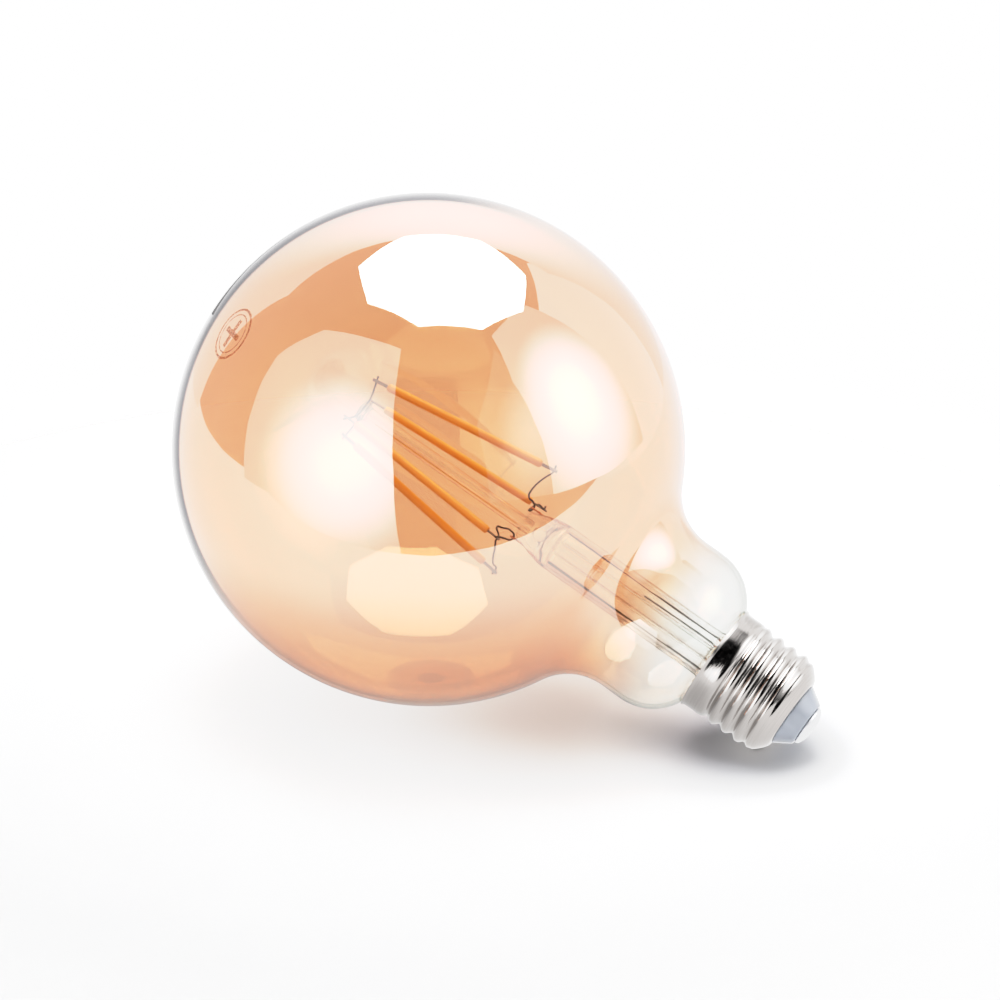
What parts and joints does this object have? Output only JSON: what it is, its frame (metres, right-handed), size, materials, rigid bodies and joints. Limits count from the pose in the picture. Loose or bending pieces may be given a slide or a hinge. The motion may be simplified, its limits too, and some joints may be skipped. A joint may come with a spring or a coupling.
{
  "type": "smart filament light bulb",
  "caption": "Large globe-shaped smart LED filament bulb with amber-tinted glass, a glass mount carrying slanted filaments, and a nickel screw cap.",
  "frame": {"origin": "the flat at the tip of the centre contact, on the lamp's axis", "axes": "+Z along the lamp's axis from the contact to the top of the globe; +X through the lead that feeds the first and second filaments; -Y is the side the first and third filaments hang on"},
  "size_m": [0.125, 0.125, 0.178],
  "materials": {
    "amber_glass": "clear amber coating inside the bulb, fading to clear at the neck",
    "clear_glass": "clear polished glass",
    "nickel_shell": "bright nickel plated sheet",
    "contact_metal": "satin nickel",
    "white_insulator": "pale blue-white, satin",
    "tan_cement": "rough baked cement",
    "orange_phosphor": "silicone with orange phosphor, satin",
    "grey_tab": "dull strip",
    "dark_nickel_wire": "dark drawn wire",
    "copper_wire": "copper clad wire",
    "green_laminate": "solder-masked laminate",
    "tinned_steel": "tinned sheet",
    "black_resin": "moulded resin",
    "capacitor_sleeve": "heat-shrunk sleeve",
    "grey_ferrite": "sintered, matt",
    "tan_ceramic": "fired, matt",
    "resistor_coating": "lacquered",
    "white_sleeve": "woven sleeving",
    "liner_card": "thin insulating card",
    "red_insulation": "wire insulation",
    "blue_insulation": "wire insulation",
    "grey_insulation": "wire insulation"
  },
  "bodies": {
    "root": {"antenna_wire": "grey_insulation", "base_insulator": "white_insulator", "basing_cement": "tan_cement", "bridge_rectifier": "black_resin", "bridge_wire_far": "dark_nickel_wire", "bridge_wire_near": "dark_nickel_wire", "bulk_capacitor": "capacitor_sleeve", "centre_contact": "contact_metal", "ceramic_capacitor": "tan_ceramic", "cross_wire_a": "dark_nickel_wire", "cross_wire_b": "dark_nickel_wire", "driver_board": "green_laminate", "driver_chip": "black_resin", "driver_liner": "liner_card", "dumet_seal_a": "copper_wire", "dumet_seal_b": "copper_wire", "exhaust_tube": "clear_glass", "filament_1": "orange_phosphor", "filament_1_lower_tab": "grey_tab", "filament_1_upper_tab": "grey_tab", "filament_2": "orange_phosphor", "filament_2_lower_tab": "grey_tab", "filament_2_upper_tab": "grey_tab", "filament_3": "orange_phosphor", "filament_3_lower_tab": "grey_tab", "filament_3_upper_tab": "grey_tab", "filament_4": "orange_phosphor", "filament_4_lower_tab": "grey_tab", "filament_4_upper_tab": "grey_tab", "fused_wire": "red_insulation", "fusible_resistor": "resistor_coating", "globe_envelope": "amber_glass", "inner_lead_a": "copper_wire", "inner_lead_b": "copper_wire", "live_wire": "red_insulation", "neutral_wire": "blue_insulation", "outer_lead_a": "dark_nickel_wire", "outer_lead_b": "dark_nickel_wire", "power_inductor": "grey_ferrite", "radio_module": "tinned_steel", "resistor_sleeve": "white_sleeve", "screw_shell": "nickel_shell", "stem_flare": "clear_glass", "support_rod": "clear_glass"}
  },
  "joints": []
}
